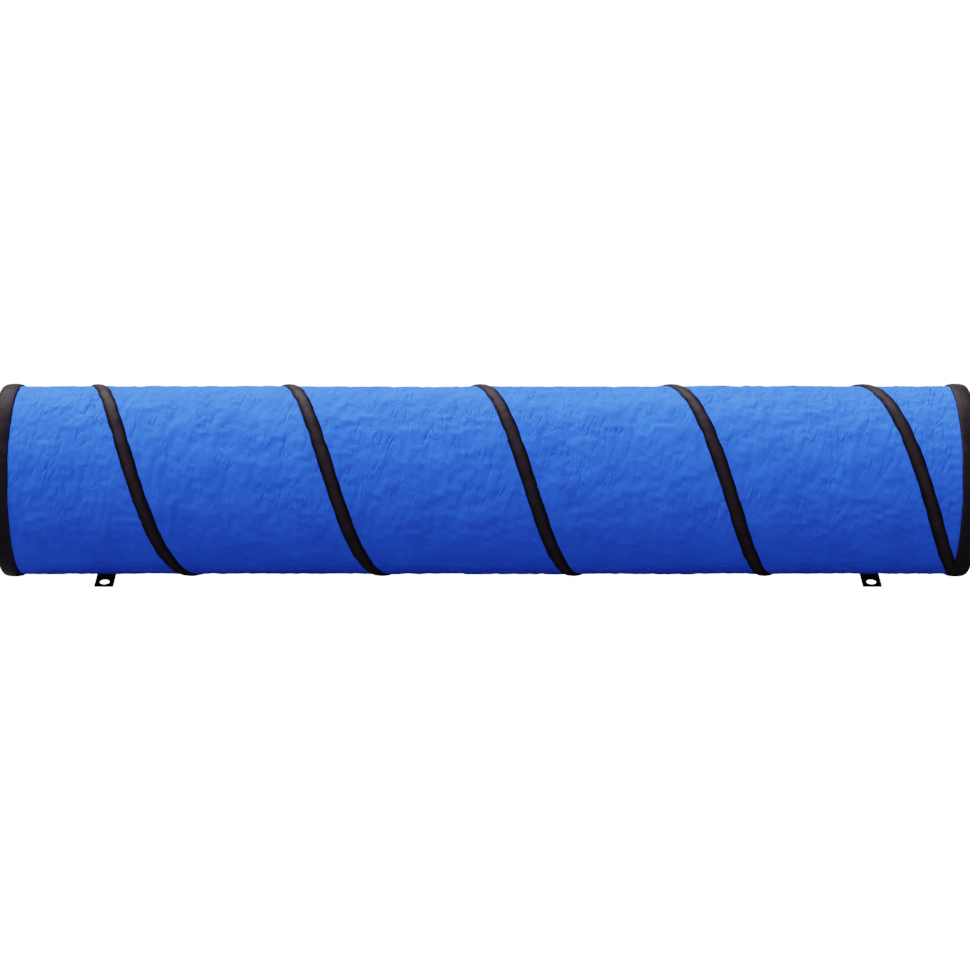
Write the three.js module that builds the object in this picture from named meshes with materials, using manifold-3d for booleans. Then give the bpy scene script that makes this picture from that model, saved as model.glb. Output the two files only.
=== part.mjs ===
// Agility tunnel for dogs: a fabric tube on a spring-steel coil, with an end ring at each mouth and
// webbing straps under the belly whose ends are punched for ground pegs.
// Millimetres, +Z up. The tunnel lies along X and the origin is on the floor, half way along it.
import * as THREE from "three";
import { mergeVertices } from "three/addons/utils/BufferGeometryUtils.js";
import Module from "manifold-3d";

const wasm = await Module();
wasm.setup();

// Driving dimensions.
const overallLength = 3000;
const bindingRadius = 305; // outside of the bindings at the two mouths
const fabricRadius = 296; // outside of the fabric tube
const sleeveRadius = 304; // crown of the sleeve over the coil
const bindingWidth = 54;
const ringOutboard = 11; // a ring wire lies in the outer fold of its binding, off the middle
const pitch = 598.5; // how far the coil travels along the tunnel in one turn
const sleeveWidth = 43.4; // along the tunnel, where the sleeve runs on the slant
const fabricThickness = 0.6;
const wireRadius = 2;
const wirePath = 299.2; // radius at which every wire runs
const strapWidth = 61;
const strapThickness = 2.2;
const strapAt = { entry: -1198, exit: 1217 };
const tabHingeY = 56;
const tabEndY = 145;
const pegHoleY = 113;
const pegHoleRadius = 15;

// Every round piece is faceted at the same angles, with a flat at the bottom to stand on.
const stepsPerTurn = 32;
const stepAngle = (2 * Math.PI) / stepsPerTurn;
const flat = Math.cos(stepAngle / 2); // radius of a flat as a share of the radius of its corners
const axisHeight = bindingRadius * flat;

// The coil starts beside the entry ring, half a step before the bottom, and ends beside the exit
// ring. Angles run from the bottom towards the rear.
const bindingX = (overallLength - bindingWidth) / 2; // middle of the exit's binding
const exitX = bindingX + ringOutboard;
const entryX = -exitX;
const tailOffset = 5; // each tail of the coil lies this far inboard of its ring wire
const coilLength = exitX - entryX - 2 * tailOffset;
const coilSteps = Math.ceil((coilLength / pitch) * stepsPerTurn);
const coilStart = -stepAngle / 2;
const coilEnd = coilStart + coilSteps * stepAngle;
const slant = Math.cos(Math.atan(pitch / (2 * Math.PI * wirePath)));
const turnCount = Math.ceil(coilSteps / stepsPerTurn);

// Gaps between neighbours.
const gap = 0.3;
const seamGap = 0.5; // half the gap between two panels along the coil
const cutAngle = 0.001; // half the gap, as an angle, between two pieces that meet end to end
const foldGap = 0.8; // between a strap and its tab, so that the tab can fold up
const fabricTuck = 8; // how far the fabric runs past a ring's middle, inside its binding
const wireClearance = 0.7;

const blueFabric = { color: 0x2a66cf, roughness: 0.6, metalness: 0 };
const blackFabric = { color: 0x241d1f, roughness: 0.75, metalness: 0 };
const blackWebbing = { color: 0x0b0b0d, roughness: 0.8, metalness: 0 };
const springSteel = { color: 0x9a9da0, roughness: 0.35, metalness: 1 };
const crimpMetal = { color: 0xb9bcc0, roughness: 0.3, metalness: 1 };

const tunnel = new THREE.Group();
tunnel.position.z = axisHeight;

// Where the coil is along the tunnel at an angle, and its wire, whose tails lie square to the axis.
const firstX = entryX + tailOffset;
const lastX = exitX - tailOffset;
const coilX = (angle) => firstX + (pitch * (angle - coilStart)) / (2 * Math.PI);
const wireX = (angle) => THREE.MathUtils.clamp(coilX(angle), firstX, lastX);

function addMesh(parent, name, geometry, finish) {
  const mesh = new THREE.Mesh(geometry, new THREE.MeshStandardMaterial(finish));
  mesh.name = name;
  parent.add(mesh);
  return mesh;
}

function shapeOf(corners) {
  return new THREE.Shape(corners.map(([u, r]) => new THREE.Vector2(u, r)));
}

// A section drawn as (along, radius), extruded round the axis between two angles. place turns the
// section's along coordinate and the angle into a position along the tunnel.
function sweepRound(shape, from, to, steps, place) {
  const geometry = new THREE.ExtrudeGeometry(shape, { depth: to - from, steps, bevelEnabled: false });
  const position = geometry.getAttribute("position");
  for (let i = 0; i < position.count; i++) {
    const radius = position.getY(i);
    const angle = from + position.getZ(i);
    const x = place(position.getX(i), angle);
    position.setXYZ(i, x, radius * Math.sin(angle), -radius * Math.cos(angle));
  }
  geometry.computeVertexNormals();
  return geometry;
}

// A closed ring: the section (along, radius) turned once round the axis.
function ringOf(corners) {
  const profile = [...corners, corners[0]].map(([u, r]) => new THREE.Vector2(r, u));
  const geometry = new THREE.LatheGeometry(profile, stepsPerTurn, stepAngle / 2);
  return geometry.rotateZ(-Math.PI / 2);
}

function polygon(count, radius, stretch, u, r) {
  return Array.from({ length: count }, (_, i) => {
    const angle = ((i + 0.5) * 2 * Math.PI) / count;
    return [u + stretch * radius * Math.cos(angle), r + radius * Math.sin(angle)];
  });
}

function solidFrom(geometry) {
  const bare = geometry.clone();
  bare.deleteAttribute("normal");
  bare.deleteAttribute("uv");
  const merged = mergeVertices(bare, 1e-3);
  return new wasm.Manifold(
    new wasm.Mesh({
      numProp: 3,
      vertProperties: merged.attributes.position.array,
      triVerts: new Uint32Array(merged.index.array),
    }),
  );
}

function geometryFrom(solid) {
  const mesh = solid.getMesh();
  const geometry = new THREE.BufferGeometry();
  geometry.setAttribute("position", new THREE.BufferAttribute(mesh.vertProperties, 3));
  geometry.setIndex(new THREE.BufferAttribute(mesh.triVerts, 1));
  geometry.computeVertexNormals();
  return geometry;
}

function cut(geometry, tool) {
  return geometryFrom(solidFrom(geometry).subtract(solidFrom(tool)));
}

// Mouth bindings: a padded tape folded over the ring wire and the fabric's raw edge. It is open
// inboard, where the fabric comes out. inboard is +1 at the entry and -1 at the exit.
function bindingSection(middle, inboard) {
  const half = bindingWidth / 2;
  const padRadius = fabricRadius - 8.5; // the face towards the dog
  const pocketRadius = wirePath + wireRadius + 1.4;
  const crown = half - 6;
  const outside = [
    [half, fabricRadius + gap],
    [half, fabricRadius + 2],
    [crown - 3, bindingRadius],
    [-crown, bindingRadius],
    [-half, fabricRadius + 1],
    [-half, fabricRadius - 3],
    [-crown, padRadius],
    [crown - 3, padRadius],
    [half, fabricRadius - 3.2],
    [half, fabricRadius - fabricThickness - gap],
  ];
  const pocket = [
    [-ringOutboard - 13, fabricRadius - fabricThickness - gap],
    [-ringOutboard - 13, fabricRadius + gap],
    [-ringOutboard - 8, pocketRadius],
    [-ringOutboard + 11, pocketRadius],
    [-ringOutboard + 16, fabricRadius + gap],
  ];
  const corners = [...outside, ...pocket].map(([u, r]) => [middle + inboard * u, r]);
  return inboard > 0 ? corners.reverse() : corners;
}

// The way the coil wire needs through a binding's lip, from its tail on the ring inboard.
function wirePassage(from, to) {
  const half = wireRadius + wireClearance;
  const square = polygon(4, half * Math.SQRT2, 1 / slant, 0, wirePath);
  const steps = Math.round((to - from) / stepAngle);
  return sweepRound(shapeOf(square), from, to, steps, (u, angle) => wireX(angle) + u);
}

// A crimp that clamps the coil's tail to the ring wire, on the facet where the tail lies.
function makeCrimp(name, ringX, inboard, facetAngle) {
  const wall = 0.8;
  const room = 0.2;
  const length = 34;
  const reach = wireRadius + room;
  const low = Math.min(inboard * tailOffset, 0) - wireRadius / slant - room;
  const high = Math.max(inboard * tailOffset, 0) + wireRadius / slant + room;
  const box = (grow) => [
    [low - grow, -reach - grow],
    [high + grow, -reach - grow],
    [high + grow, reach + grow],
    [low - grow, reach + grow],
  ];
  const shape = shapeOf(box(wall));
  shape.holes.push(shapeOf(box(0)));
  const geometry = new THREE.ExtrudeGeometry(shape, { depth: length, bevelEnabled: false });
  geometry.translate(0, 0, -length / 2).rotateX(-Math.PI / 2);
  const turned = new THREE.Group();
  turned.rotation.x = facetAngle;
  tunnel.add(turned);
  const crimp = addMesh(turned, name, geometry, crimpMetal);
  crimp.position.set(ringX, 0, -wirePath * flat);
}

function makeMouth(name, ringX, inboard, passage, crimpFacet) {
  const section = bindingSection(-inboard * bindingX, inboard);
  addMesh(tunnel, `${name}_binding`, cut(ringOf(section), passage), blackFabric);
  const wire = polygon(6, wireRadius, 1, ringX, wirePath);
  addMesh(tunnel, `${name}_ring_wire`, ringOf(wire.reverse()), springSteel);
  makeCrimp(`${name}_crimp`, ringX, inboard, crimpFacet);
}

// One turn of the coil, or what is left of one at the exit. The first and last carry a tail.
function makeCoilTurn(turn) {
  const first = turn === 1;
  const last = turn === turnCount;
  const tail = stepAngle;
  const from = coilStart + (turn - 1) * 2 * Math.PI;
  const to = Math.min(from + 2 * Math.PI, coilEnd);
  const wireFrom = first ? from - tail : from + cutAngle;
  const wireTo = last ? to + tail : to - cutAngle;
  const wireSteps = Math.round((wireTo - wireFrom) / stepAngle);
  const wire = shapeOf(polygon(6, wireRadius, 1 / slant, 0, wirePath));
  const wireGeometry = sweepRound(wire, wireFrom, wireTo, wireSteps, (u, a) => wireX(a) + u);
  addMesh(tunnel, `coil_wire_${turn}`, wireGeometry, springSteel);

  const half = sleeveWidth / 2;
  const base = fabricRadius + gap;
  const sleeve = shapeOf([
    [-half, base],
    [-12, base],
    [-7, wirePath + wireRadius + 0.8],
    [7, wirePath + wireRadius + 0.8],
    [12, base],
    [half, base],
    [half, base + 1.2],
    [9, sleeveRadius],
    [-9, sleeveRadius],
    [-half, base + 1.2],
  ]);
  const steps = Math.round((to - from) / stepAngle);
  const [start, stop] = [from + cutAngle, to - cutAngle];
  let geometry = sweepRound(sleeve, start, stop, steps, (u, angle) => coilX(angle) + u);
  if (first) geometry = cut(geometry, mouthZone(1));
  if (last) geometry = cut(geometry, mouthZone(-1));
  addMesh(tunnel, `coil_sleeve_${turn}`, geometry, blackFabric);
}

// Everything from a mouth in to its binding's inboard edge, which a sleeve stops short of.
function mouthZone(inboard) {
  const reach = 2 * bindingWidth;
  const geometry = new THREE.CylinderGeometry(2 * bindingRadius, 2 * bindingRadius, reach, 8);
  geometry.rotateZ(Math.PI / 2);
  const edge = inboard * (bindingWidth / 2 + gap - bindingX);
  return geometry.translate(edge - (inboard * reach) / 2, 0, 0);
}

// A fabric panel: one turn of the strip between two lines that give its edges at each angle.
function makePanel(name, from, to, leftEdge, rightEdge) {
  const inner = fabricRadius - fabricThickness;
  const unit = shapeOf([[0, inner], [1, inner], [1, fabricRadius], [0, fabricRadius]]);
  const steps = Math.round((to - from) / stepAngle);
  const place = (share, angle) => THREE.MathUtils.lerp(leftEdge(angle), rightEdge(angle), share);
  const geometry = sweepRound(unit, from + cutAngle, to - cutAngle, steps, place);
  addMesh(tunnel, name, geometry, blueFabric);
}

// The tube is one spiral strip, sewn edge to edge under the coil's sleeve and closed at each mouth
// by a gore that runs out between the coil and the ring.
function makePanels() {
  const turn = 2 * Math.PI;
  const beforeCoil = (angle) => coilX(angle) - seamGap;
  const afterCoil = (angle) => coilX(angle) + seamGap;
  const entryEdge = () => entryX - fabricTuck;
  const exitEdge = () => exitX + fabricTuck;
  makePanel("entry_gore", coilStart, coilStart + turn, entryEdge, beforeCoil);
  for (let n = 1; n < turnCount; n++) {
    const from = coilStart + (n - 1) * turn;
    const nextCoil = (angle) => Math.min(beforeCoil(angle + turn), exitEdge());
    makePanel(`fabric_panel_${n}`, from, from + turn, afterCoil, nextCoil);
  }
  const lastTurn = coilStart + (turnCount - 1) * turn;
  makePanel("exit_gore", lastTurn, coilEnd - stepAngle, afterCoil, exitEdge);
}

// The strap crosses under the belly: sewn up to the fabric in the middle, down on the floor at
// both ends, where a punched tab hinges on.
function makeStrap(end) {
  const strap = new THREE.Group();
  strap.position.set(strapAt[end], 0, -axisHeight);
  tunnel.add(strap);

  const sewn = axisHeight - fabricRadius * flat - gap - strapThickness;
  const under = [
    [tabHingeY - foldGap, 0],
    [50, 0],
    [24, sewn],
    [-24, sewn],
    [-50, 0],
    [-tabHingeY + foldGap, 0],
  ];
  const over = under.map(([y, z]) => [y, z + strapThickness]).reverse();
  const options = { depth: strapWidth, bevelEnabled: false };
  const body = new THREE.ExtrudeGeometry(shapeOf([...over, ...under].reverse()), options);
  body.translate(0, 0, -strapWidth / 2).rotateY(Math.PI / 2).rotateX(Math.PI / 2);
  addMesh(strap, `${end}_strap`, body, blackWebbing);

  for (const [side, away] of [["front", -1], ["rear", 1]]) {
    const tab = addMesh(strap, `${side}_${end}_tab`, makeTab(), blackWebbing);
    tab.position.y = away * tabHingeY;
    if (side === "front") tab.rotation.z = Math.PI;
  }
}

// A tab's plate runs out along +Y from its hinge line, on the floor.
function makeTab() {
  const half = strapWidth / 2;
  const length = tabEndY - tabHingeY;
  const corner = 3;
  const plate = new THREE.Shape();
  plate.moveTo(-half, 0);
  plate.lineTo(half, 0);
  plate.lineTo(half, length - corner);
  plate.lineTo(half - corner, length);
  plate.lineTo(corner - half, length);
  plate.lineTo(-half, length - corner);
  plate.closePath();
  const hole = new THREE.Path();
  hole.absarc(0, pegHoleY - tabHingeY, pegHoleRadius, 0, 2 * Math.PI, true);
  plate.holes.push(hole);
  const options = { depth: strapThickness, bevelEnabled: false, curveSegments: 24 };
  return new THREE.ExtrudeGeometry(plate, options);
}

const lipTravel = 3 * stepAngle; // the coil wire is clear of a binding's lip after this much turn
const entryPassage = wirePassage(coilStart - stepAngle, coilStart + lipTravel);
const exitPassage = wirePassage(coilEnd - lipTravel, coilEnd + stepAngle);
makeMouth("entry", entryX, 1, entryPassage, coilStart - stepAngle / 2);
makeMouth("exit", exitX, -1, exitPassage, coilEnd + stepAngle / 2);
for (let turn = 1; turn <= turnCount; turn++) makeCoilTurn(turn);
makePanels();
makeStrap("entry");
makeStrap("exit");

const part = new THREE.Group();
part.add(tunnel);

export default part;
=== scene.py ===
import math

import bmesh
import bpy
import numpy as np
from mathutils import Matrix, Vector


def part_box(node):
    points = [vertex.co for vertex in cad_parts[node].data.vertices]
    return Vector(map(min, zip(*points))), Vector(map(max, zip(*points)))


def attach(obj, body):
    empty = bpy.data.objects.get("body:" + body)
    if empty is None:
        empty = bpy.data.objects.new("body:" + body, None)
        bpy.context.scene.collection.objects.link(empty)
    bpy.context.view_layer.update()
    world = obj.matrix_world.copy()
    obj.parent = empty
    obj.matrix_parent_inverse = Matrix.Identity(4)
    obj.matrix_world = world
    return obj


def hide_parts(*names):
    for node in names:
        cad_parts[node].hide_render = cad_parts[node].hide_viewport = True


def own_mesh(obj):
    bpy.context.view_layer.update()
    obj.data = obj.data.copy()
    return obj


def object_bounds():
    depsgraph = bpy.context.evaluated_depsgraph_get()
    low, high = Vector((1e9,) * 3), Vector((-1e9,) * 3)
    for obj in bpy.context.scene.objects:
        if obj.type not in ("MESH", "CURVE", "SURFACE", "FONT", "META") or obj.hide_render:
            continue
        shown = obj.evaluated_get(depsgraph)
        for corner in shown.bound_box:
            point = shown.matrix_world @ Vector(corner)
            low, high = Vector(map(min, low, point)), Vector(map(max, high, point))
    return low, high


# Looks of an agility tunnel: crumpled nylon on a sleeved coil, bound mouths, webbing and thread.
# Metres, +Z up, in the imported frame: the tunnel runs along X and stands on the floor. A place on
# the tube is given by x and by an angle from its lowest line, rising over the rear (+Y) to the top.

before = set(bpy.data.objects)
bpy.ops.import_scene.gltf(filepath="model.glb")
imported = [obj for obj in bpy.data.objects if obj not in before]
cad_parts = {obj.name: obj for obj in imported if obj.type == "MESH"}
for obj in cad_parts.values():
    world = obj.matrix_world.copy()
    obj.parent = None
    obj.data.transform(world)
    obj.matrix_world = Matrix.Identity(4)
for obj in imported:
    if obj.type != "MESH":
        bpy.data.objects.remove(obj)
cad_low, cad_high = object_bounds()

MM = 0.001
TURN = 2 * math.pi
FACETS = 32  # sides of the CAD's round solids


# ---------------------------------------------------------------- sizes from the frame

def middle(node):
    low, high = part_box(node)
    return (low + high) / 2


def length_along(node):
    """A node's size along the tunnel."""
    low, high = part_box(node)
    return high.x - low.x


def reach(node):
    """Radius of a round node, measured upwards from the tunnel's axis."""
    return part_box(node)[1].z - AXIS_Z


AXIS_Z = middle("entry_binding").z
ENTRY_X = middle("entry_binding").x
EXIT_X = middle("exit_binding").x
RING_X = {"entry": middle("entry_ring_wire").x, "exit": middle("exit_ring_wire").x}
BINDING_WIDTH = length_along("entry_binding")
BINDING_R = reach("entry_binding")
FABRIC_R = reach("fabric_panel_2")
SLEEVE_R = reach("coil_sleeve_2")
WIRE_RADIUS = 2 * MM
WIRE_R = reach("coil_wire_2") - 0.87 * WIRE_RADIUS  # the CAD's wire has six sides
PITCH = middle("coil_sleeve_3").x - middle("coil_sleeve_2").x
LEAD = PITCH / TURN
COIL_SLOPE = LEAD / FABRIC_R
SLEEVE_WIDTH = length_along("coil_sleeve_2") - PITCH
SLEEVE_HALF = SLEEVE_WIDTH / 2 * math.cos(math.atan(COIL_SLOPE))
COIL_START = -TURN / FACETS / 2
TURNS = sum(1 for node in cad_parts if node.startswith("coil_wire_"))
FABRIC_THICK = 0.6 * MM
SEAM_R = FABRIC_R - FABRIC_THICK / 2
WEBBING_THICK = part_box("front_entry_tab")[1].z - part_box("front_entry_tab")[0].z

# The collapsed tube fills the gap that is left between the two bindings.
GAP_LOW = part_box("entry_binding")[1].x
GAP_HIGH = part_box("exit_binding")[0].x

MID_TURN_2_X = middle("coil_sleeve_2").x
MID_TURN_2 = COIL_START + 1.5 * TURN


def coil_x(angle):
    """Where the coil's middle line is along the tunnel. Turn 1 starts at COIL_START."""
    return MID_TURN_2_X + LEAD * (angle - MID_TURN_2)


def coil_angle(x):
    """The angle at which the coil's middle line passes a place along the tunnel."""
    return (x - coil_x(0)) / LEAD


COIL_END = coil_angle(RING_X["exit"])


def on_tube(x, angle, radius):
    """Points of the tube as rows of (x, y, z)."""
    x, angle, radius = np.broadcast_arrays(x, angle, radius)
    return np.stack([x, radius * np.sin(angle), AXIS_Z - radius * np.cos(angle)], axis=-1)


def outwards(angle, height):
    """Movements away from the tunnel's axis, as rows of (x, y, z)."""
    return on_tube(0, angle, height) - on_tube(0, angle, 0)


def smooth_step(t):
    """From 0 to 1 as t does, easing in and out."""
    t = np.clip(t, 0, 1)
    return t * t * (3 - 2 * t)


# ---------------------------------------------------------------- seeded noise on the tube

def hashed(i, j, seed):
    """A repeatable random number between 0 and 1 for each pair of whole numbers."""
    i = (i.astype(np.int64) & 0xFFFFFFFF).astype(np.uint64)
    j = (j.astype(np.int64) & 0xFFFFFFFF).astype(np.uint64)
    h = (i * np.uint64(374761393) + j * np.uint64(668265263) + np.uint64(seed * 144665))
    h = h & np.uint64(0xFFFFFFFF)
    h = ((h ^ (h >> np.uint64(13))) * np.uint64(1274126177)) & np.uint64(0xFFFFFFFF)
    h = ((h ^ (h >> np.uint64(16))) * np.uint64(2246822519)) & np.uint64(0xFFFFFFFF)
    h = h ^ (h >> np.uint64(15))
    return h.astype(float) / 0xFFFFFFFF


class TubeLattice:
    """Cells on the tube's surface, around which they close: cell sizes are rounded to fit.

    lean shifts the cells along the tunnel as they climb, so that they can run square to the coil.
    """

    def __init__(self, along, around, lean, seed):
        circumference = TURN * FABRIC_R
        self.rows = max(1, round(circumference / around))
        self.shift = round(lean * circumference / along)
        self.along = along
        self.seed = seed

    def cells(self, x, angle):
        turns = angle / TURN
        return x / self.along + self.shift * turns, self.rows * turns

    def random(self, i, j, channel):
        wraps = np.floor(j / self.rows).astype(np.int64)
        return hashed(i - self.shift * wraps, j - self.rows * wraps, self.seed + 7919 * channel)

    def value(self, x, angle):
        """Smooth noise between -1 and 1."""
        u, v = self.cells(x, angle)
        i, j = np.floor(u).astype(np.int64), np.floor(v).astype(np.int64)
        fu, fv = smooth_step(u - i), smooth_step(v - j)
        low = self.random(i, j, 0) * (1 - fu) + self.random(i + 1, j, 0) * fu
        high = self.random(i, j + 1, 0) * (1 - fu) + self.random(i + 1, j + 1, 0) * fu
        return 2 * (low * (1 - fv) + high * fv) - 1

    def folds(self, x, angle):
        """Shallow bowls that meet in sharp ridges, from 0 in a bowl to about 1 on a ridge."""
        u, v = self.cells(x, angle)
        i, j = np.floor(u).astype(np.int64), np.floor(v).astype(np.int64)
        nearest = np.full(np.shape(u), 9.0)
        for di in (-1, 0, 1):
            for dj in (-1, 0, 1):
                a, b = i + di, j + dj
                du = a + self.random(a, b, 1) - u
                dv = b + self.random(a, b, 2) - v
                nearest = np.minimum(nearest, du * du + dv * dv)
        return np.minimum(nearest, 1.2)


SEAM_HOLD = 10 * MM  # how far a seam holds the fabric still
BINDING_GRIP = 6 * MM  # how much farther the middle of a binding does


def from_seams(x, angle):
    """Distance along the tunnel to the nearest line on which the fabric is sewn down."""
    off = np.mod(x - coil_x(angle), PITCH)
    to_coil = np.minimum(off, PITCH - off)
    to_mouth = np.minimum(x - ENTRY_X, EXIT_X - x)
    return np.minimum(to_coil, to_mouth - BINDING_GRIP)


def free_of_seams(x, angle, ease):
    """From 0 where the fabric is held by a seam to 1 where it is free to fold."""
    return smooth_step((from_seams(x, angle) - SEAM_HOLD) / ease)


LEAN = 0.22  # folds run nearly square to the coil
wander = TubeLattice(90 * MM, 130 * MM, LEAN, 11)
wander_across = TubeLattice(80 * MM, 110 * MM, LEAN, 12)
billow = TubeLattice(150 * MM, 210 * MM, LEAN, 21)
quiet = TubeLattice(170 * MM, 190 * MM, 0, 22)
ridges = TubeLattice(46 * MM, 170 * MM, LEAN, 31)
valleys = TubeLattice(46 * MM, 170 * MM, LEAN, 32)
small_ridges = TubeLattice(18 * MM, 70 * MM, LEAN, 41)
small_valleys = TubeLattice(18 * MM, 70 * MM, LEAN, 42)


def creased(x, angle):
    """Sharp facets pressed into the nylon by its folding, as a height in metres."""
    drift = 16 * MM * wander.value(x, angle)
    twist = 20 * MM / FABRIC_R * wander_across.value(x, angle)
    wx, wa = x + drift, angle + twist
    busy = 0.3 + 0.7 * smooth_step(0.5 + 0.9 * quiet.value(x, angle))
    large = 1.5 * MM * (ridges.folds(wx, wa) - valleys.folds(wx, wa))
    small = 0.95 * MM * (small_ridges.folds(wx, wa) - small_valleys.folds(wx, wa))
    return free_of_seams(x, angle, 45 * MM) * busy * slack_at(angle) * (large + small)


def slack_at(angle):
    """The nylon is loose over the top and drawn smoother by its own weight low on the sides."""
    return 0.75 - 0.4 * np.cos(angle)


seam_pucker = TubeLattice(400 * MM, 21 * MM, 0, 71)
seam_pucker_size = TubeLattice(400 * MM, 110 * MM, 0, 72)


def puckered(x, angle):
    """Short wrinkles that run out from the seams, where the thread has drawn the nylon in."""
    away = from_seams(x, angle) - SLEEVE_WIDTH / 2
    reach_out = np.clip(away / (8 * MM), 0, 1) * np.exp(-np.clip(away, 0, None) / (26 * MM))
    strong = 0.5 + 0.5 * seam_pucker_size.value(x, angle)
    return 1.5 * MM * seam_pucker.value(x, angle) * strong * reach_out


def crumple(x, angle):
    """How far the nylon stands out from the tube, in metres."""
    bulge = (1.6 * billow.value(x, angle) - 0.8) * MM
    return creased(x, angle) + free_of_seams(x, angle, 60 * MM) * bulge


# ---------------------------------------------------------------- mesh building

def link(name, data):
    """A new object in the scene, for a mesh, a light or a camera."""
    made = bpy.data.objects.new(name, data)
    bpy.context.scene.collection.objects.link(made)
    return made


def build(name, points, faces, uvs=None):
    """A mesh object from rows of points and rows of corner indices."""
    mesh = bpy.data.meshes.new(name)
    faces = np.asarray(faces, np.int32)
    sides = faces.shape[1]
    mesh.vertices.add(len(points))
    mesh.vertices.foreach_set("co", np.asarray(points, np.float32).ravel())
    mesh.loops.add(faces.size)
    mesh.loops.foreach_set("vertex_index", faces.ravel())
    mesh.polygons.add(len(faces))
    mesh.polygons.foreach_set("loop_start", np.arange(0, faces.size, sides, dtype=np.int32))
    mesh.update(calc_edges=True)
    mesh.validate()
    if uvs is not None:
        layer = mesh.uv_layers.new(name="surface")
        layer.data.foreach_set("uv", np.asarray(uvs, np.float32)[faces.ravel()].ravel())
    return link(name, mesh)


def grid_faces(rows, columns, close_rows=False, close_columns=False, first=0):
    """Quads of a grid of points stored row by row."""
    r = np.arange(rows if close_rows else rows - 1)
    c = np.arange(columns if close_columns else columns - 1)
    r, c = [a.ravel() for a in np.meshgrid(r, c, indexing="ij")]
    r2, c2 = (r + 1) % rows, (c + 1) % columns
    corners = [r * columns + c, r2 * columns + c, r2 * columns + c2, r * columns + c2]
    return np.stack(corners, axis=1) + first


def skin(name, outside, inside, uv):
    """A closed sheet: two grids of points with the same shape, joined round their edges."""
    rows, columns = outside.shape[:2]
    count = rows * columns
    top = grid_faces(rows, columns)
    under = grid_faces(rows, columns, first=count)[:, ::-1]
    index = np.arange(count).reshape(rows, columns)
    border = np.concatenate([index[0, :-1], index[:-1, -1], index[-1, :0:-1], index[:0:-1, 0]])
    after = np.roll(border, -1)
    rim = np.stack([border, after, after + count, border + count], axis=1)
    points = np.concatenate([outside.reshape(-1, 3), inside.reshape(-1, 3)])
    uv = uv.reshape(-1, 2)
    return build(name, points, np.concatenate([top, under, rim]), np.concatenate([uv, uv]))


def swept(name, points, uv, closed_path):
    """A solid swept along a path: rows of points round each section. Open ends are capped."""
    rows, columns = points.shape[:2]
    faces = grid_faces(rows, columns, close_rows=closed_path, close_columns=True)
    flat = points.reshape(-1, 3)
    uv = uv.reshape(-1, 2)
    if closed_path:
        return build(name, flat, faces, uv)
    hubs = np.stack([points[0].mean(axis=0), points[-1].mean(axis=0)])
    around = np.arange(columns)
    ahead = (around + 1) % columns
    last_row = (rows - 1) * columns
    start = np.stack([around, ahead, np.full(columns, len(flat))], axis=1)
    end = np.stack([ahead + last_row, around + last_row, np.full(columns, len(flat) + 1)], axis=1)
    caps = np.concatenate([start, end])
    flat = np.concatenate([flat, hubs])
    uv = np.concatenate([uv, uv[[0, -1]]])
    return build_mixed(name, flat, faces, caps, uv)


def build_mixed(name, points, quads, triangles, uvs):
    """A mesh object whose faces are quads and triangles."""
    mesh = bpy.data.meshes.new(name)
    faces = [tuple(q) for q in quads.tolist()] + [tuple(t) for t in triangles.tolist()]
    mesh.from_pydata(np.asarray(points).tolist(), [], faces)
    corners = np.concatenate([quads.ravel(), triangles.ravel()])
    layer = mesh.uv_layers.new(name="surface")
    layer.data.foreach_set("uv", np.asarray(uvs, np.float32)[corners].ravel())
    mesh.update()
    return link(name, mesh)


def face_outwards(piece):
    """Turns every face of a closed mesh to look out of it, and shades them smoothly."""
    mesh = bmesh.new()
    mesh.from_mesh(piece.data)
    bmesh.ops.recalc_face_normals(mesh, faces=mesh.faces)
    mesh.to_mesh(piece.data)
    mesh.free()
    piece.data.polygons.foreach_set("use_smooth", np.full(len(piece.data.polygons), True))


# ---------------------------------------------------------------- how pieces move


def soft_piece(piece, body, slot, *nodes):
    """A piece with a mesh of its own, which rides on its body."""
    rigid_piece(piece, body, slot, *nodes)
    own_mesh(piece)


def rigid_piece(piece, body, slot, *nodes):
    """A piece that only rides on its body. It stands for the CAD nodes, if any are named."""
    face_outwards(piece)
    if nodes:
        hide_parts(*nodes)
    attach(piece, body)


# ---------------------------------------------------------------- materials

def material(name):
    made = bpy.data.materials.new(name)
    made.use_nodes = True
    nodes = made.node_tree.nodes
    return made, nodes, made.node_tree.links, nodes["Principled BSDF"]


def set_surface(links, shader, colour, normal, roughness, specular=0.5):
    links.new(colour, shader.inputs["Base Color"])
    links.new(normal, shader.inputs["Normal"])
    shader.inputs["Roughness"].default_value = roughness
    shader.inputs["Specular IOR Level"].default_value = specular


def surface_coordinates(nodes, links, scale, lean=0):
    """The piece's own surface coordinates, in metres, turned by lean and then scaled."""
    uv = nodes.new("ShaderNodeUVMap")
    uv.uv_map = "surface"
    turned = nodes.new("ShaderNodeMapping")
    turned.inputs["Rotation"].default_value = (0, 0, -math.atan(lean))
    links.new(uv.outputs["UV"], turned.inputs["Vector"])
    mapping = nodes.new("ShaderNodeMapping")
    mapping.inputs["Scale"].default_value = (scale[0], scale[1], 1)
    links.new(turned.outputs["Vector"], mapping.inputs["Vector"])
    return mapping.outputs["Vector"]


def calculate(nodes, links, operation, *values):
    """A math node. A value is a number or another node's output."""
    made = nodes.new("ShaderNodeMath")
    made.operation = operation
    for socket, value in zip(made.inputs, values):
        if isinstance(value, (int, float)):
            socket.default_value = value
        else:
            links.new(value, socket)
    return made.outputs[0]


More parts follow.
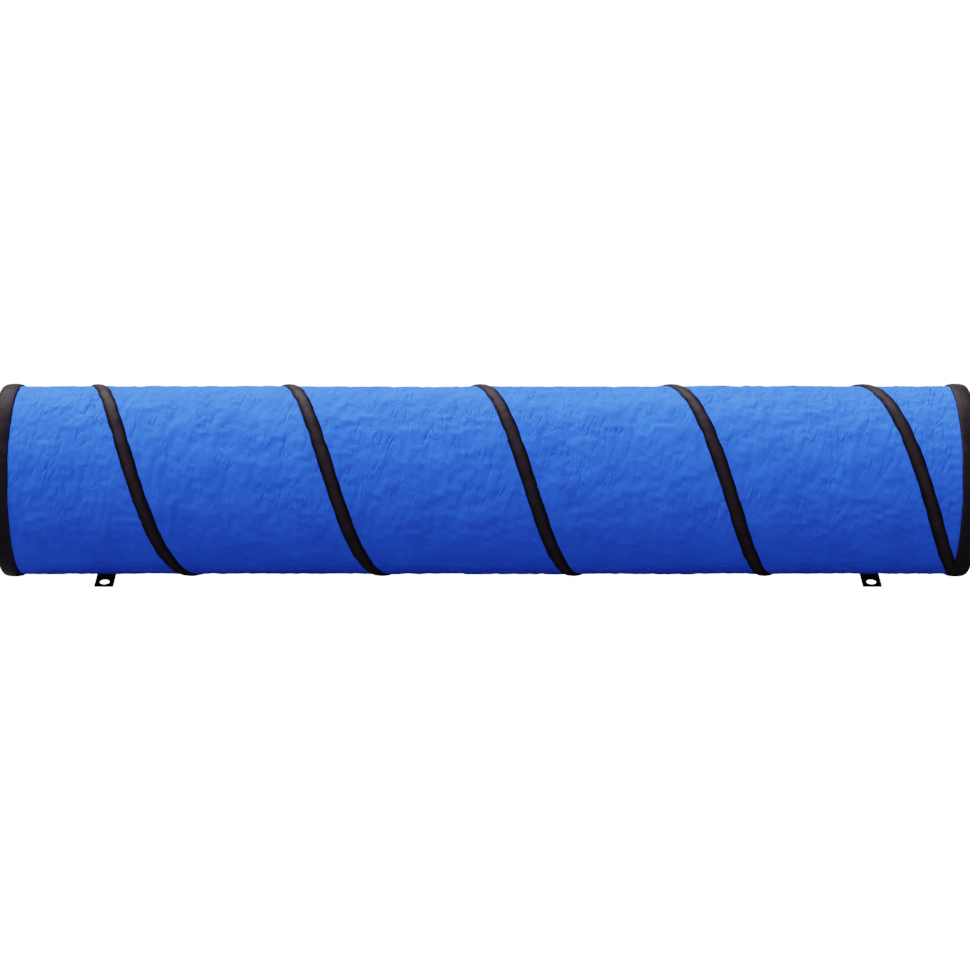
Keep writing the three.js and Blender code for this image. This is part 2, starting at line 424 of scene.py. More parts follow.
def weave_height(nodes, links, threads_per_metre):
    """Over-and-under threads of a plain weave, as a height between 0 and 1."""
    vector = surface_coordinates(nodes, links, (threads_per_metre * math.pi,) * 2)
    split = nodes.new("ShaderNodeSeparateXYZ")
    links.new(vector, split.inputs[0])
    warp = calculate(nodes, links, "SINE", split.outputs[0])
    weft = calculate(nodes, links, "SINE", split.outputs[1])
    crossed = calculate(nodes, links, "MULTIPLY", warp, weft)
    return calculate(nodes, links, "MULTIPLY_ADD", crossed, 0.5, 0.5)


def bump(nodes, links, height, strength, distance, under=None):
    made = nodes.new("ShaderNodeBump")
    made.inputs["Strength"].default_value = strength
    made.inputs["Distance"].default_value = distance
    links.new(height, made.inputs["Height"])
    if under is not None:
        links.new(under, made.inputs["Normal"])
    return made.outputs["Normal"]


def noise(nodes, links, vector, scale, detail, roughness=0.5):
    made = nodes.new("ShaderNodeTexNoise")
    made.inputs["Scale"].default_value = scale
    made.inputs["Detail"].default_value = detail
    made.inputs["Roughness"].default_value = roughness
    links.new(vector, made.inputs["Vector"])
    return made.outputs["Fac"]


def ramp(nodes, links, factor, stops):
    made = nodes.new("ShaderNodeValToRGB")
    elements = made.color_ramp.elements
    while len(elements) < len(stops):
        elements.new(0.5)
    for element, (place, colour) in zip(elements, stops):
        element.position = place
        element.color = (*colour, 1)
    links.new(factor, made.inputs["Fac"])
    return made.outputs["Color"]


def creases(nodes, links, vector, patches):
    """Thin valleys along the edges of warped cells, as a height between 0 and 1. They come and go
    with a patches value between 0 and 1."""
    swirl = nodes.new("ShaderNodeTexNoise")
    swirl.inputs["Scale"].default_value = 0.8
    swirl.inputs["Detail"].default_value = 3
    links.new(vector, swirl.inputs["Vector"])
    warped = nodes.new("ShaderNodeVectorMath")
    warped.operation = "MULTIPLY_ADD"
    links.new(swirl.outputs["Color"], warped.inputs[0])
    warped.inputs[1].default_value = (1.8, 1.8, 0)
    links.new(vector, warped.inputs[2])
    cells = nodes.new("ShaderNodeTexVoronoi")
    cells.feature = "DISTANCE_TO_EDGE"
    cells.inputs["Scale"].default_value = 1
    links.new(warped.outputs[0], cells.inputs["Vector"])
    depth = ramp(nodes, links, cells.outputs["Distance"], [
        (0.0, (1, 1, 1)),
        (0.1, (0.3, 0.3, 0.3)),
        (0.35, (0, 0, 0)),
    ])
    present = calculate(nodes, links, "MULTIPLY", depth, patches)
    return calculate(nodes, links, "SUBTRACT", 1.0, present)


def patchy(nodes, links, scale, low, high):
    """Patches between 0 and 1 that begin at one level of a noise and are full at another."""
    level = noise(nodes, links, surface_coordinates(nodes, links, (1, 1)), scale, 3, 0.5)
    return ramp(nodes, links, level, [(low, (0, 0, 0)), (high, (1, 1, 1))])


def slackness(nodes, links):
    """How loose the nylon is: little at the belly and most over the top, in large patches."""
    split = nodes.new("ShaderNodeSeparateXYZ")
    links.new(surface_coordinates(nodes, links, (1, 1 / FABRIC_R)), split.inputs[0])
    cosine = calculate(nodes, links, "COSINE", split.outputs[1])
    by_height = calculate(nodes, links, "MULTIPLY_ADD", cosine, -0.46, 0.66)
    patches = patchy(nodes, links, 3.2, 0.4, 0.6)
    in_patches = calculate(nodes, links, "MULTIPLY_ADD", patches, 0.6, 0.55)
    return calculate(nodes, links, "MULTIPLY", by_height, in_patches)


def blue_nylon():
    made, nodes, links, shader = material("blue_nylon")
    slack = slackness(nodes, links)
    flat = surface_coordinates(nodes, links, (1, 1))
    patches = noise(nodes, links, flat, 9, 5, 0.65)
    colour = ramp(nodes, links, patches, [
        (0.30, (0.046, 0.129, 0.72)),
        (0.50, (0.052, 0.146, 0.80)),
        (0.70, (0.058, 0.163, 0.88)),
    ])
    leaning = surface_coordinates(nodes, links, (30, 11), LEAN)
    finer = surface_coordinates(nodes, links, (70, 30), LEAN)
    sparse = calculate(nodes, links, "MULTIPLY", patchy(nodes, links, 11, 0.44, 0.6), slack)
    sparser = calculate(nodes, links, "MULTIPLY", patchy(nodes, links, 17, 0.44, 0.6), slack)
    ripples = noise(nodes, links, leaning, 2.6, 4, 0.55)
    ripples = calculate(nodes, links, "MULTIPLY", ripples, slack)
    normal = bump(nodes, links, creases(nodes, links, leaning, sparse), 0.8, 2.8 * MM)
    normal = bump(nodes, links, creases(nodes, links, finer, sparser), 0.75, 1.6 * MM, normal)
    normal = bump(nodes, links, ripples, 0.5, 1.9 * MM, normal)
    normal = bump(nodes, links, weave_height(nodes, links, 900), 0.12, 0.1 * MM, normal)
    set_surface(links, shader, colour, normal, 0.6, 0.03)
    return made


def black_nylon(name, half_width=None):
    """Black nylon. With a half width, a painted highlight makes it paler along its middle and
    painted shade makes it darker at its edges.
    """
    made, nodes, links, shader = material(name)
    flat = surface_coordinates(nodes, links, (1, 1))
    patches = noise(nodes, links, flat, 22, 4, 0.6)
    colour = ramp(nodes, links, patches, [
        (0.3, (0.020, 0.0152, 0.0185)),
        (0.7, (0.033, 0.0258, 0.0305)),
    ])
    if half_width is not None:
        split = nodes.new("ShaderNodeSeparateXYZ")
        links.new(surface_coordinates(nodes, links, (1 / half_width, 1)), split.inputs[0])
        off_middle = calculate(nodes, links, "ABSOLUTE", split.outputs[0])
        # Painted highlight along the sleeve's puffed middle and painted shade towards its flanges,
        # across its width.
        painted_highlight_and_edge_shade = ramp(nodes, links, off_middle, [
            (0.0, (1.45, 1.45, 1.45)),
            (0.45, (1.2, 1.2, 1.2)),
            (0.85, (0.4, 0.4, 0.4)),
        ])
        mixed = nodes.new("ShaderNodeVectorMath")
        mixed.operation = "MULTIPLY"
        links.new(colour, mixed.inputs[0])
        links.new(painted_highlight_and_edge_shade, mixed.inputs[1])
        colour = mixed.outputs[0]
    puckers = noise(nodes, links, surface_coordinates(nodes, links, (60, 140)), 1.0, 4, 0.6)
    normal = bump(nodes, links, puckers, 0.6, 1.4 * MM)
    normal = bump(nodes, links, weave_height(nodes, links, 700), 0.2, 0.15 * MM, normal)
    set_surface(links, shader, colour, normal, 0.42, 0.035)
    return made


def black_webbing():
    made, nodes, links, shader = material("black_webbing")
    flat = surface_coordinates(nodes, links, (1, 1))
    wear = noise(nodes, links, flat, 60, 5, 0.65)
    colour = ramp(nodes, links, wear, [
        (0.35, (0.013, 0.0125, 0.0135)),
        (0.75, (0.038, 0.036, 0.039)),
    ])
    normal = bump(nodes, links, weave_height(nodes, links, 420), 0.7, 0.5 * MM)
    set_surface(links, shader, colour, normal, 0.72, 0.3)
    return made


def thread(name, colour):
    made, nodes, links, shader = material(name)
    flat = surface_coordinates(nodes, links, (1, 1))
    strands = noise(nodes, links, flat, 900, 2, 0.5)
    shade = [channel * 0.6 for channel in colour]
    twisted = ramp(nodes, links, strands, [(0.3, shade), (0.7, colour)])
    set_surface(links, shader, twisted, bump(nodes, links, strands, 0.4, 0.15 * MM), 0.6)
    return made


def drawn_steel(name, colour, roughness):
    made, nodes, links, shader = material(name)
    coordinates = nodes.new("ShaderNodeTexCoord")
    mottle = noise(nodes, links, coordinates.outputs["Object"], 260, 5, 0.6)
    dull = [channel * 0.7 for channel in colour]
    drawn = ramp(nodes, links, mottle, [(0.3, dull), (0.7, colour)])
    set_surface(links, shader, drawn, bump(nodes, links, mottle, 0.15, 0.2 * MM), roughness)
    shader.inputs["Metallic"].default_value = 1
    return made


looks = {
    "blue_nylon": blue_nylon(),
    "black_nylon": black_nylon("black_nylon"),
    "sleeve_nylon": black_nylon("sleeve_nylon", SLEEVE_WIDTH / 2),
    "black_webbing": black_webbing(),
    "thread": thread("bonded_thread", (0.070, 0.064, 0.070)),
    "spring_steel": drawn_steel("spring_steel", (0.50, 0.51, 0.53), 0.34),
    "crimp_steel": drawn_steel("crimp_steel", (0.62, 0.63, 0.65), 0.28),
}


def paint(piece, look):
    piece.data.materials.clear()
    piece.data.materials.append(looks[look])
    return piece


# ---------------------------------------------------------------- the blue tube

ALONG_STEPS = 118
AROUND_STEPS = 360
FABRIC_TUCK = 8 * MM
STRIP_START = COIL_START - TURN

# The nylon is one long strip wound between neighbouring turns of the coil. A place on it is given
# by the angle and by its share of the way from the strip's left edge to its right edge.


def strip_edges(angle):
    """The strip's two edges: the middle of the coil, or just past a ring at the mouths."""
    left = np.maximum(coil_x(angle), RING_X["entry"] - FABRIC_TUCK)
    right = np.minimum(coil_x(angle + TURN), RING_X["exit"] + FABRIC_TUCK)
    return left, right


def strip_x(angle, share):
    left, right = strip_edges(angle)
    return left + (right - left) * share


SETTLE_CELL = 16 * MM
SETTLE_FRAMES = 22
SLACK = 0.0025
SEWN = 22 * MM  # how far from a seam's line the nylon is sewn down
LIGHT_GRAVITY = 0.04


def settled_nylon():
    """Cloth simulation of the whole strip, sewn down along the coil and the rings and cut with a
    little slack. Gives the angles of its rows and how far each point moved."""
    turns = (COIL_END - STRIP_START) / TURN
    rows = round(turns * TURN * FABRIC_R / SETTLE_CELL) + 1
    columns = round(PITCH / SETTLE_CELL) + 1
    angles = np.linspace(STRIP_START, COIL_END, rows)
    shares = np.linspace(0, 1, columns)
    angle, share = np.meshgrid(angles, shares, indexing="ij")
    x = strip_x(angle, share)
    start = on_tube(x, angle, FABRIC_R + 0.4 * crumple(x, angle))
    sheet = build("settling", start.reshape(-1, 3), grid_faces(rows, columns))
    held = (from_seams(x, angle) < SEWN) | (share == 0) | (share == 1)
    held[[0, -1]] = True
    make_cloth(sheet, held)
    moved = settled_points(sheet).reshape(rows, columns, 3) - on_tube(x, angle, FABRIC_R)
    return angles, moved


def make_cloth(sheet, held):
    """Makes a sheet behave as light nylon that is sewn down at the held points."""
    sewn = sheet.vertex_groups.new(name="sewn")
    sewn.add(np.flatnonzero(held).tolist(), 1, "REPLACE")
    cloth = sheet.modifiers.new("settle", "CLOTH")
    cloth.settings.quality = 5
    cloth.settings.vertex_group_mass = "sewn"
    cloth.settings.mass = 0.02
    cloth.settings.air_damping = 2
    cloth.settings.tension_stiffness = 12
    cloth.settings.compression_stiffness = 12
    cloth.settings.shear_stiffness = 4
    cloth.settings.bending_stiffness = 0.02
    cloth.settings.shrink_min = -SLACK
    cloth.settings.effector_weights.gravity = LIGHT_GRAVITY
    cloth.point_cache.frame_start = 1
    cloth.point_cache.frame_end = SETTLE_FRAMES


def settled_points(sheet):
    """Where the simulation leaves a sheet's points. The sheet is removed afterwards."""
    scene = bpy.context.scene
    for step in range(1, SETTLE_FRAMES + 1):
        scene.frame_set(step)
    final = sheet.evaluated_get(bpy.context.evaluated_depsgraph_get()).to_mesh()
    places = np.empty(len(final.vertices) * 3, np.float32)
    final.vertices.foreach_get("co", places)
    scene.frame_set(1)
    mesh = sheet.data
    bpy.data.objects.remove(sheet)
    bpy.data.meshes.remove(mesh)
    return places


def cubic_weights(at):
    """The four neighbours of each place on an evenly spaced axis, and their weights."""
    base = np.floor(at).astype(int)
    t = at - base
    weights = [
        0.5 * (-t + 2 * t ** 2 - t ** 3),
        0.5 * (2 - 5 * t ** 2 + 3 * t ** 3),
        0.5 * (t + 4 * t ** 2 - 3 * t ** 3),
        0.5 * (t ** 3 - t ** 2),
    ]
    return [(base + offset - 1, weight) for offset, weight in enumerate(weights)]


def resampled(settled, angle, share):
    """The settled grid's movement, smoothly filled in on a finer grid of angles and shares."""
    angles, moved = settled
    last_row, last_column = moved.shape[0] - 1, moved.shape[1] - 1
    down = cubic_weights((angle - angles[0]) / (angles[-1] - angles[0]) * last_row)
    side = cubic_weights(share * last_column)
    rows = sum(moved[np.clip(i, 0, last_row)] * w[:, None, None] for i, w in down)
    return sum(rows[:, np.clip(j, 0, last_column)] * w[None, :, None] for j, w in side)


def make_panel(name, body, cad_node, start, stop, settled):
    """One turn of the strip, as a sheet with an outer and an inner face."""
    rows = max(8, round(AROUND_STEPS * (stop - start) / TURN)) + 1
    angles = np.linspace(start, stop, rows)
    shares = np.linspace(0, 1, ALONG_STEPS + 1)
    angle, share = np.meshgrid(angles, shares, indexing="ij")
    x = strip_x(angle, share)
    if settled is None:
        moved = outwards(angle, crumple(x, angle) + puckered(x, angle))
    else:
        moved = outwards(angle, creased(x, angle) + puckered(x, angle))
        moved = moved + resampled(settled, angles, shares)
    outside = on_tube(x, angle, FABRIC_R) + moved
    inside = on_tube(x, angle, FABRIC_R - FABRIC_THICK) + moved
    uv = np.stack([x, angle * FABRIC_R], axis=-1)
    piece = paint(skin(name, outside, inside, uv), "blue_nylon")
    soft_piece(piece, body, "blue_nylon", cad_node)


def make_tube():
    settled = settled_nylon()
    make_panel("gore_entry", "entry_end", "entry_gore", STRIP_START, COIL_START, settled)
    for turn in range(1, TURNS):
        start = COIL_START + (turn - 1) * TURN
        cad_node = f"fabric_panel_{turn}"
        make_panel(f"panel_{turn}", f"turn_{turn}", cad_node, start, start + TURN, settled)
    last = COIL_START + (TURNS - 1) * TURN
    make_panel("gore_exit", "exit_end", "exit_gore", last, COIL_END, settled)


# ---------------------------------------------------------------- sleeve and wire of the coil

SLEEVE_STEP = 3.2 * MM
FLANGE = 0.88  # where the sewn edge of a sleeve begins, as a share of its half width
WIRE_STEPS = 240  # a turn


def coil_frame(angle, across, radius):
    """A place beside the coil: across is measured square to it, on the tube's surface. It stays
    between the two ring wires, so the sleeve ends inside the bindings."""
    cosine = 1 / math.sqrt(1 + COIL_SLOPE * COIL_SLOPE)
    sine = COIL_SLOPE * cosine
    x = np.clip(coil_x(angle) + across * cosine, RING_X["entry"], RING_X["exit"])
    turned = angle - across * sine / FABRIC_R
    return on_tube(x, turned, radius)


sleeve_gather = TubeLattice(400 * MM, 34 * MM, 0, 51)
sleeve_lump = TubeLattice(400 * MM, 90 * MM, 0, 52)
sleeve_crinkle = TubeLattice(9 * MM, 13 * MM, 0, 53)


def sleeve_section(t, angle):
    """Height over the fabric across a sleeve, t from -1 to 1: flat flanges, a puffed middle."""
    inner = np.clip(np.abs(t) / FLANGE, 0, 1)
    dome = (1 - inner ** 2.1) ** 0.62
    crown = SLEEVE_R - FABRIC_R
    lump = 1.1 * MM * (sleeve_lump.value(0 * angle + 3.0, angle) - 0.6)
    return 1.0 * MM + (crown - 1.0 * MM + lump) * dome


def make_sleeve(turn, start, stop):
    """One turn of the sleeve, gathered unevenly along its two edges."""
    length = (stop - start) * math.hypot(FABRIC_R, LEAD)
    rows = round(length / SLEEVE_STEP) + 1
    angle = np.linspace(start, stop, rows)[:, None]
    over = np.linspace(-1, 1, 25)[None, :]
    under = np.linspace(0.94, -0.94, 9)[None, :]
    left = 2.0 * MM * sleeve_gather.value(0 * angle, angle)
    right = 1.1 * MM * sleeve_gather.value(0 * angle + 40, angle)
    widen = SLEEVE_HALF + np.where(over < 0, left, right)
    crinkle = sleeve_crinkle.value(over * SLEEVE_HALF, angle) * (0.35 + 0.6 * np.abs(over)) * MM
    height = (sleeve_section(over, angle) + crinkle * 0.8) * sinking(angle)
    top = coil_frame(angle, over * widen, FABRIC_R + height)
    base = coil_frame(angle, under * SLEEVE_HALF, FABRIC_R + 0.15 * MM)
    points = np.concatenate([top, base], axis=1)
    across = SLEEVE_HALF * np.concatenate([over, under], axis=1) + 0 * angle
    uv = np.stack([across, FABRIC_R * angle + 0 * across], axis=-1)
    piece = paint(swept(f"sleeve_{turn}", points, uv, False), "sleeve_nylon")
    soft_piece(piece, f"turn_{turn}", "black_nylon", f"coil_sleeve_{turn}")


def sinking(angle):
    """The sleeve thins where it runs under a mouth's binding."""
    to_ring = np.minimum(coil_x(angle) - ENTRY_X, EXIT_X - coil_x(angle))
    return 0.35 + 0.65 * smooth_step((to_ring - 2 * MM) / (26 * MM))


def round_wire(name, start, stop, place, closed):
    """A round wire laid along the tube's surface at place(angle). A closed one is a ring."""
    rows = round((stop - start) / TURN * WIRE_STEPS) + 1
    angle = np.linspace(start, stop, rows)[:, None]
    around = np.linspace(0, TURN, 12, endpoint=False)[None, :]
    x = place(angle) + WIRE_RADIUS * np.cos(around)
    points = on_tube(x, angle, WIRE_R + WIRE_RADIUS * np.sin(around))
    uv = np.stack([WIRE_RADIUS * around + 0 * angle, WIRE_R * angle + 0 * around], axis=-1)
    if closed:
        points, uv = points[:-1], uv[:-1]
    return paint(swept(name, points, uv, closed), "spring_steel")


def turn_spans():
    """The angles between which each turn of the coil runs."""
    for turn in range(1, TURNS + 1):
        start = COIL_START + (turn - 1) * TURN
        yield turn, start, min(start + TURN, COIL_END)


def make_coil():
    """The coil's sleeve and wire. Both ends of the wire lie beside the ring wires."""
    tail = 2 * (middle("entry_crimp").x - RING_X["entry"])
    first, last = RING_X["entry"] + tail, RING_X["exit"] - tail

    def wire_x(angle):
        return np.clip(coil_x(angle), first, last)

    for turn, start, stop in turn_spans():
        make_sleeve(turn, start, stop)
        wire_start = start - TURN / FACETS if turn == 1 else start
        wire_stop = stop + TURN / FACETS if turn == TURNS else stop
        wire = round_wire(f"wire_{turn}", wire_start, wire_stop, wire_x, closed=False)
        soft_piece(wire, f"turn_{turn}", "spring_steel", f"coil_wire_{turn}")


# ---------------------------------------------------------------- thread

STITCH_APART = 5.0 * MM
STITCH_LENGTH = 3.6 * MM
THREAD_RADIUS = 0.45 * MM
THREAD_SIDES = 6
STITCH_UNDER_BINDING = 8 * MM
STITCH_PROFILE = [  # place along a stitch, thickness and height, as shares
    (-1.0, 0.35, -0.9),
    (-0.75, 0.9, -0.1),
    (0.0, 1.0, 0.25),
    (0.75, 0.9, -0.1),
    (1.0, 0.35, -0.9),
]


def stitches(name, body, paths, soft):
    """Rows of stitches. Each row is a path for a share of its length, the length, and the way
    that the stitches face."""
    pieces = [stitch_row(*path) for path in paths]
    sizes = np.cumsum([0] + [len(points) for points, _ in pieces])
    points = np.concatenate([p for p, _ in pieces])
    faces = np.concatenate([f + offset for (_, f), offset in zip(pieces, sizes)])
    uv = points[:, :2]
    piece = paint(build(name, points, faces, uv), "thread")
    finish = soft_piece if soft else rigid_piece
    finish(piece, body, "black_nylon")


def stitch_row(path, length, lift):
    """Stitches in a row, each a thread that dips at both ends."""
    count = max(1, int(length / STITCH_APART))
    share = (np.arange(count) + 0.5) / count
    step = 0.5 * MM / length
    place = path(share)
    along = path(share + step) - path(share - step)
    along /= np.linalg.norm(along, axis=1, keepdims=True)
    up = lift(place)
    side = np.cross(along, up)
    points = []
    for t, thickness, height in STITCH_PROFILE:
        centre = place + along * t * STITCH_LENGTH / 2 + up * height * THREAD_RADIUS
        for a in np.arange(THREAD_SIDES) * TURN / THREAD_SIDES:
            spoke = math.cos(a) * side + math.sin(a) * up
            points.append(centre + THREAD_RADIUS * thickness * spoke)
    points = np.stack(points, axis=1)
    rows = len(STITCH_PROFILE)
    body = grid_faces(rows, THREAD_SIDES, close_columns=True)
    caps = np.array([[0, 1, 2, 3], [0, 3, 4, 5]])
    far = caps[:, ::-1] + THREAD_SIDES * (rows - 1)
    one = np.concatenate([body, caps, far])
    first = np.arange(count) * rows * THREAD_SIDES
    faces = (one[None] + first[:, None, None]).reshape(-1, 4)
    return points.reshape(-1, 3), faces


def from_axis(place):
    """Unit vectors away from the tunnel's axis."""
    out = place - np.array([0, 0, AXIS_Z])
    out[:, 0] = 0
    return out / np.linalg.norm(out, axis=1, keepdims=True)


def towards_axis(place):
    return -from_axis(place)


def make_coil_stitches():
    """A row on each flange of the sleeves, inside and outside the tube. The rows end just inside
    the bindings."""
    for turn, start, stop in turn_spans():
        paths = []
        for side in (-1, 1):
            offset = side * FLANGE * SLEEVE_HALF
            first = max(start, coil_angle(GAP_LOW - STITCH_UNDER_BINDING - offset))
            last = min(stop, coil_angle(GAP_HIGH + STITCH_UNDER_BINDING - offset))
            length = (last - first) * math.hypot(FABRIC_R, LEAD)

            def outside(share, offset=offset, first=first, last=last):
                angle = first + share * (last - first)
                return coil_frame(angle, offset, FABRIC_R + 1.35 * MM)

            def inside(share, offset=offset, first=first, last=last):
                angle = first + share * (last - first)
                return coil_frame(angle, offset, FABRIC_R - FABRIC_THICK - 0.2 * MM)

            paths.append((outside, length, from_axis))
            paths.append((inside, length, towards_axis))
        stitches(f"stitches_{turn}", f"turn_{turn}", paths, True)


# ---------------------------------------------------------------- mouths

binding_gather = TubeLattice(400 * MM, 42 * MM, 0, 61)
binding_lump = TubeLattice(400 * MM, 120 * MM, 0, 62)
PAD_INSIDE = 7.6 * MM
LIP = 1.3 * MM
STITCH_FROM_LIP = 3.4 * MM


def make_binding(end, middle_x, inboard):
    """Padded tape folded round the ring wire, open inboard where the fabric comes out."""
    half = BINDING_WIDTH / 2
    angle = np.linspace(0, TURN, 620, endpoint=False)[:, None]
    bend = np.linspace(0, TURN, 44)[None, :]
    pad = np.where(bend < math.pi, BINDING_R - SEAM_R, PAD_INSIDE) - LIP
    cosine, sine = np.cos(bend), np.sin(bend)
    u = half * np.sign(cosine) * np.abs(cosine) ** 0.9
    h = LIP * np.cos(bend / 2) + pad * np.sign(sine) * np.abs(sine) ** 0.8
    near_lip = np.clip(cosine, 0, 1) ** 2
    gather = binding_gather.value(0 * angle, angle)
    lump = binding_lump.value(0 * angle, angle)
    u = u + 0.9 * MM * gather * near_lip
    h = h + (0.5 * MM * gather - 0.5 * MM - 0.9 * MM * np.abs(lump)) * sine
    pocket = binding_pocket(inboard * (RING_X[end] - middle_x))
    pocket_u, pocket_h = [np.array(column)[None, :] + 0 * angle for column in zip(*pocket)]
    u = np.concatenate([u + 0 * angle, pocket_u], axis=1)
    h = np.concatenate([h + 0 * angle, pocket_h], axis=1)
    points = on_tube(middle_x + inboard * u, angle, SEAM_R + h)
    around = np.cumsum(np.hypot(np.diff(u[:1], prepend=0), np.diff(h[:1], prepend=0)), axis=1)
    uv = np.stack([around + 0 * angle, FABRIC_R * angle + 0 * u], axis=-1)
    piece = paint(swept(f"binding_{end}", points, uv, True), "black_nylon")
    rigid_piece(piece, f"{end}_end", "black_nylon", f"{end}_binding")


def binding_pocket(ring):
    """The slot in a binding that the fabric lies in, with room for the wire and the crimp at its
    far end. Places are inboard of the binding's middle and above the fabric."""
    clear = 0.75 * FABRIC_THICK
    mouth = BINDING_WIDTH / 2 - 1.0 * MM
    wire_top = WIRE_R + WIRE_RADIUS - SEAM_R + 1.0 * MM
    return [
        (mouth, -clear),
        (ring - 12 * MM, -clear),
        (ring - 12 * MM, clear),
        (ring - 8 * MM, wire_top),
        (ring + 11 * MM, wire_top),
        (ring + 16 * MM, clear),
        (mouth, clear),
    ]


def make_binding_stitches(end, middle_x, inboard):
    """One row just inside each lip, sewn right through the fabric."""
    beside = middle_x + inboard * (BINDING_WIDTH / 2 - STITCH_FROM_LIP)

    def outside(share):
        return on_tube(beside, share * TURN, SEAM_R + 5.6 * MM)

    def inside(share):
        return on_tube(beside, share * TURN, SEAM_R - 5.0 * MM)

    length = TURN * FABRIC_R
    paths = [(outside, length, from_axis), (inside, length, towards_axis)]
    stitches(f"stitches_{end}", f"{end}_end", paths, False)


def make_mouths():
    for end, middle_x, inboard in (("entry", ENTRY_X, 1), ("exit", EXIT_X, -1)):
        make_binding(end, middle_x, inboard)
        make_binding_stitches(end, middle_x, inboard)

        def ring_place(angle, end=end):
            return RING_X[end] + 0 * angle

        ring = round_wire(f"ring_{end}", 0, TURN, ring_place, closed=True)
        rigid_piece(ring, f"{end}_end", "spring_steel", f"{end}_ring_wire")
        paint(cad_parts[f"{end}_crimp"], "crimp_steel")


# ---------------------------------------------------------------- webbing

HOLE_RADIUS = 15 * MM
HOLE_FROM_TIP = 32 * MM
STITCHES_ROUND_HOLE_R = 24.2 * MM
CORNER_RADIUS = 3 * MM
EDGE_ROUNDING = 1.0 * MM
WHIPPING = 0.25 * MM  # how much thicker the webbing is where its hole is whipped
WHIPPED = 5.5 * MM  # how far out from the hole
STRAP_RISE_START = 50 * MM
STRAP_RISE = 26 * MM
STRAP_OVERLAP = 0.3 * MM


def make_strap(end, body):
    """Webbing sewn to the belly. Its middle is a piece with a mesh of its own, and its ends stay
    flat on the floor, where the tabs are sewn to them."""
    node = f"{end}_strap"
    low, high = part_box(node)
    spans = [
        (f"strap_{end}", -STRAP_RISE_START, STRAP_RISE_START, soft_piece),
        (f"strap_{end}_front", low.y - STRAP_OVERLAP, -STRAP_RISE_START, rigid_piece),
        (f"strap_{end}_rear", STRAP_RISE_START, high.y + STRAP_OVERLAP, rigid_piece),
    ]
    for name, first, last, finish in spans:
        piece = paint(strap_span(name, node, first, last), "black_webbing")
        finish(piece, body, "black_webbing", node)


def strap_span(name, node, first, last):
    """The part of a strap between two places along y."""
    low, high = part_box(node)
    half_width = (high.x - low.x) / 2
    half_thick = WEBBING_THICK / 2
    y = np.linspace(first, last, 2 + round((last - first) / (2.5 * MM)))[:, None]
    raised = smooth_step((STRAP_RISE_START - np.abs(y)) / STRAP_RISE)
    mid = low.z + half_thick + (high.z - low.z - WEBBING_THICK) * raised
    across = np.linspace(-1, 1, 27)[None, :]
    edge = np.clip(1 - np.abs(across) ** 16, 0, 1) ** 0.5
    ripple = 0.12 * MM * np.sin(across * 9 + y * 60)
    x = (low.x + high.x) / 2 + across * half_width + 0 * y
    half = (half_thick - 0.1 * MM) * edge
    top = np.stack([x, y + 0 * x, mid + half + ripple * edge], axis=-1)
    under = np.stack([x, y + 0 * x, mid - half], axis=-1)[:, -2:0:-1]
    points = np.concatenate([top, under], axis=1)
    return swept(name, points, points[..., :2], False)


def rounded_rectangle(half_x, y0, y1, radius, count):
    """Points evenly spaced round a rectangle with rounded corners, as columns x and y."""
    corners = [(half_x, y0, -90), (half_x, y1, 0), (-half_x, y1, 90), (-half_x, y0, 180)]
    path = []
    for corner_x, corner_y, first in corners:
        centre_x = corner_x - math.copysign(radius, corner_x)
        centre_y = corner_y + radius if corner_y == y0 else corner_y - radius
        for step in range(7):
            a = math.radians(first + 15 * step)
            path.append((centre_x + radius * math.cos(a), centre_y + radius * math.sin(a)))
    path = np.array(path + path[:1])
    far = np.concatenate([[0], np.cumsum(np.linalg.norm(np.diff(path, axis=0), axis=1))])
    at = np.linspace(0, far[-1], count, endpoint=False)
    return np.stack([np.interp(at, far, path[:, 0]), np.interp(at, far, path[:, 1])], axis=1)


def punched_webbing(half_width, length):
    """Webbing from y = 0 to its length, with rounded edges and a whipped hole near its end. Rows
    of points run from the hole out to the edge and back beneath."""
    outline = rounded_rectangle(half_width, 0, length, CORNER_RADIUS, 160)
    centre = np.array([0, length - HOLE_FROM_TIP])
    spoke = outline - centre
    reach_out = np.linalg.norm(spoke, axis=1)[:, None]
    unit = spoke / reach_out
    share = np.linspace(0, 1, 22)[None, :] ** 1.3
    ease = 0.5 - 0.5 * np.cos(math.pi * share)
    at = HOLE_RADIUS + (reach_out - HOLE_RADIUS) * ease
    from_hole, from_edge = at - HOLE_RADIUS, reach_out - at
    nearest = np.clip(np.minimum(from_hole, from_edge) / EDGE_ROUNDING, 0, 1)
    body = (WEBBING_THICK / 2 - WHIPPING) * np.sqrt(np.clip(1 - (1 - nearest) ** 2, 0.02, 1))
    half = body + WHIPPING * smooth_step((WHIPPED - from_hole) / (2 * MM)) * nearest
    x = centre[0] + unit[:, :1] * at
    y = centre[1] + unit[:, 1:] * at
    top = np.stack([x, y, half], axis=-1)
    under = np.stack([x, y, -half], axis=-1)[:, -2:0:-1]
    return np.concatenate([top, under], axis=1)


def make_tab(side, end):
    """A webbing tab with a peg hole. It lies out from its fold along the floor."""
    node = f"{side}_{end}_tab"
    low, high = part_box(node)
    out, fold = (-1, high.y) if side == "front" else (1, low.y)
    middle_x = (low.x + high.x) / 2
    length = high.y - low.y
    points = punched_webbing((high.x - low.x) / 2, length)
    uv = points[..., :2].copy()
    points[..., 0] += middle_x
    points[..., 1] = fold + out * points[..., 1]
    points[..., 2] += WEBBING_THICK / 2
    piece = paint(swept(f"tab_{side}_{end}", points, uv, True), "black_webbing")
    rigid_piece(piece, node, "black_webbing", node)

    def on_tab(x, y):
        height = WEBBING_THICK - 0.15 * MM
        return np.stack([middle_x + x, fold + out * y, height + 0 * x], axis=1)

    make_tab_stitches(side, end, on_tab, length - HOLE_FROM_TIP)


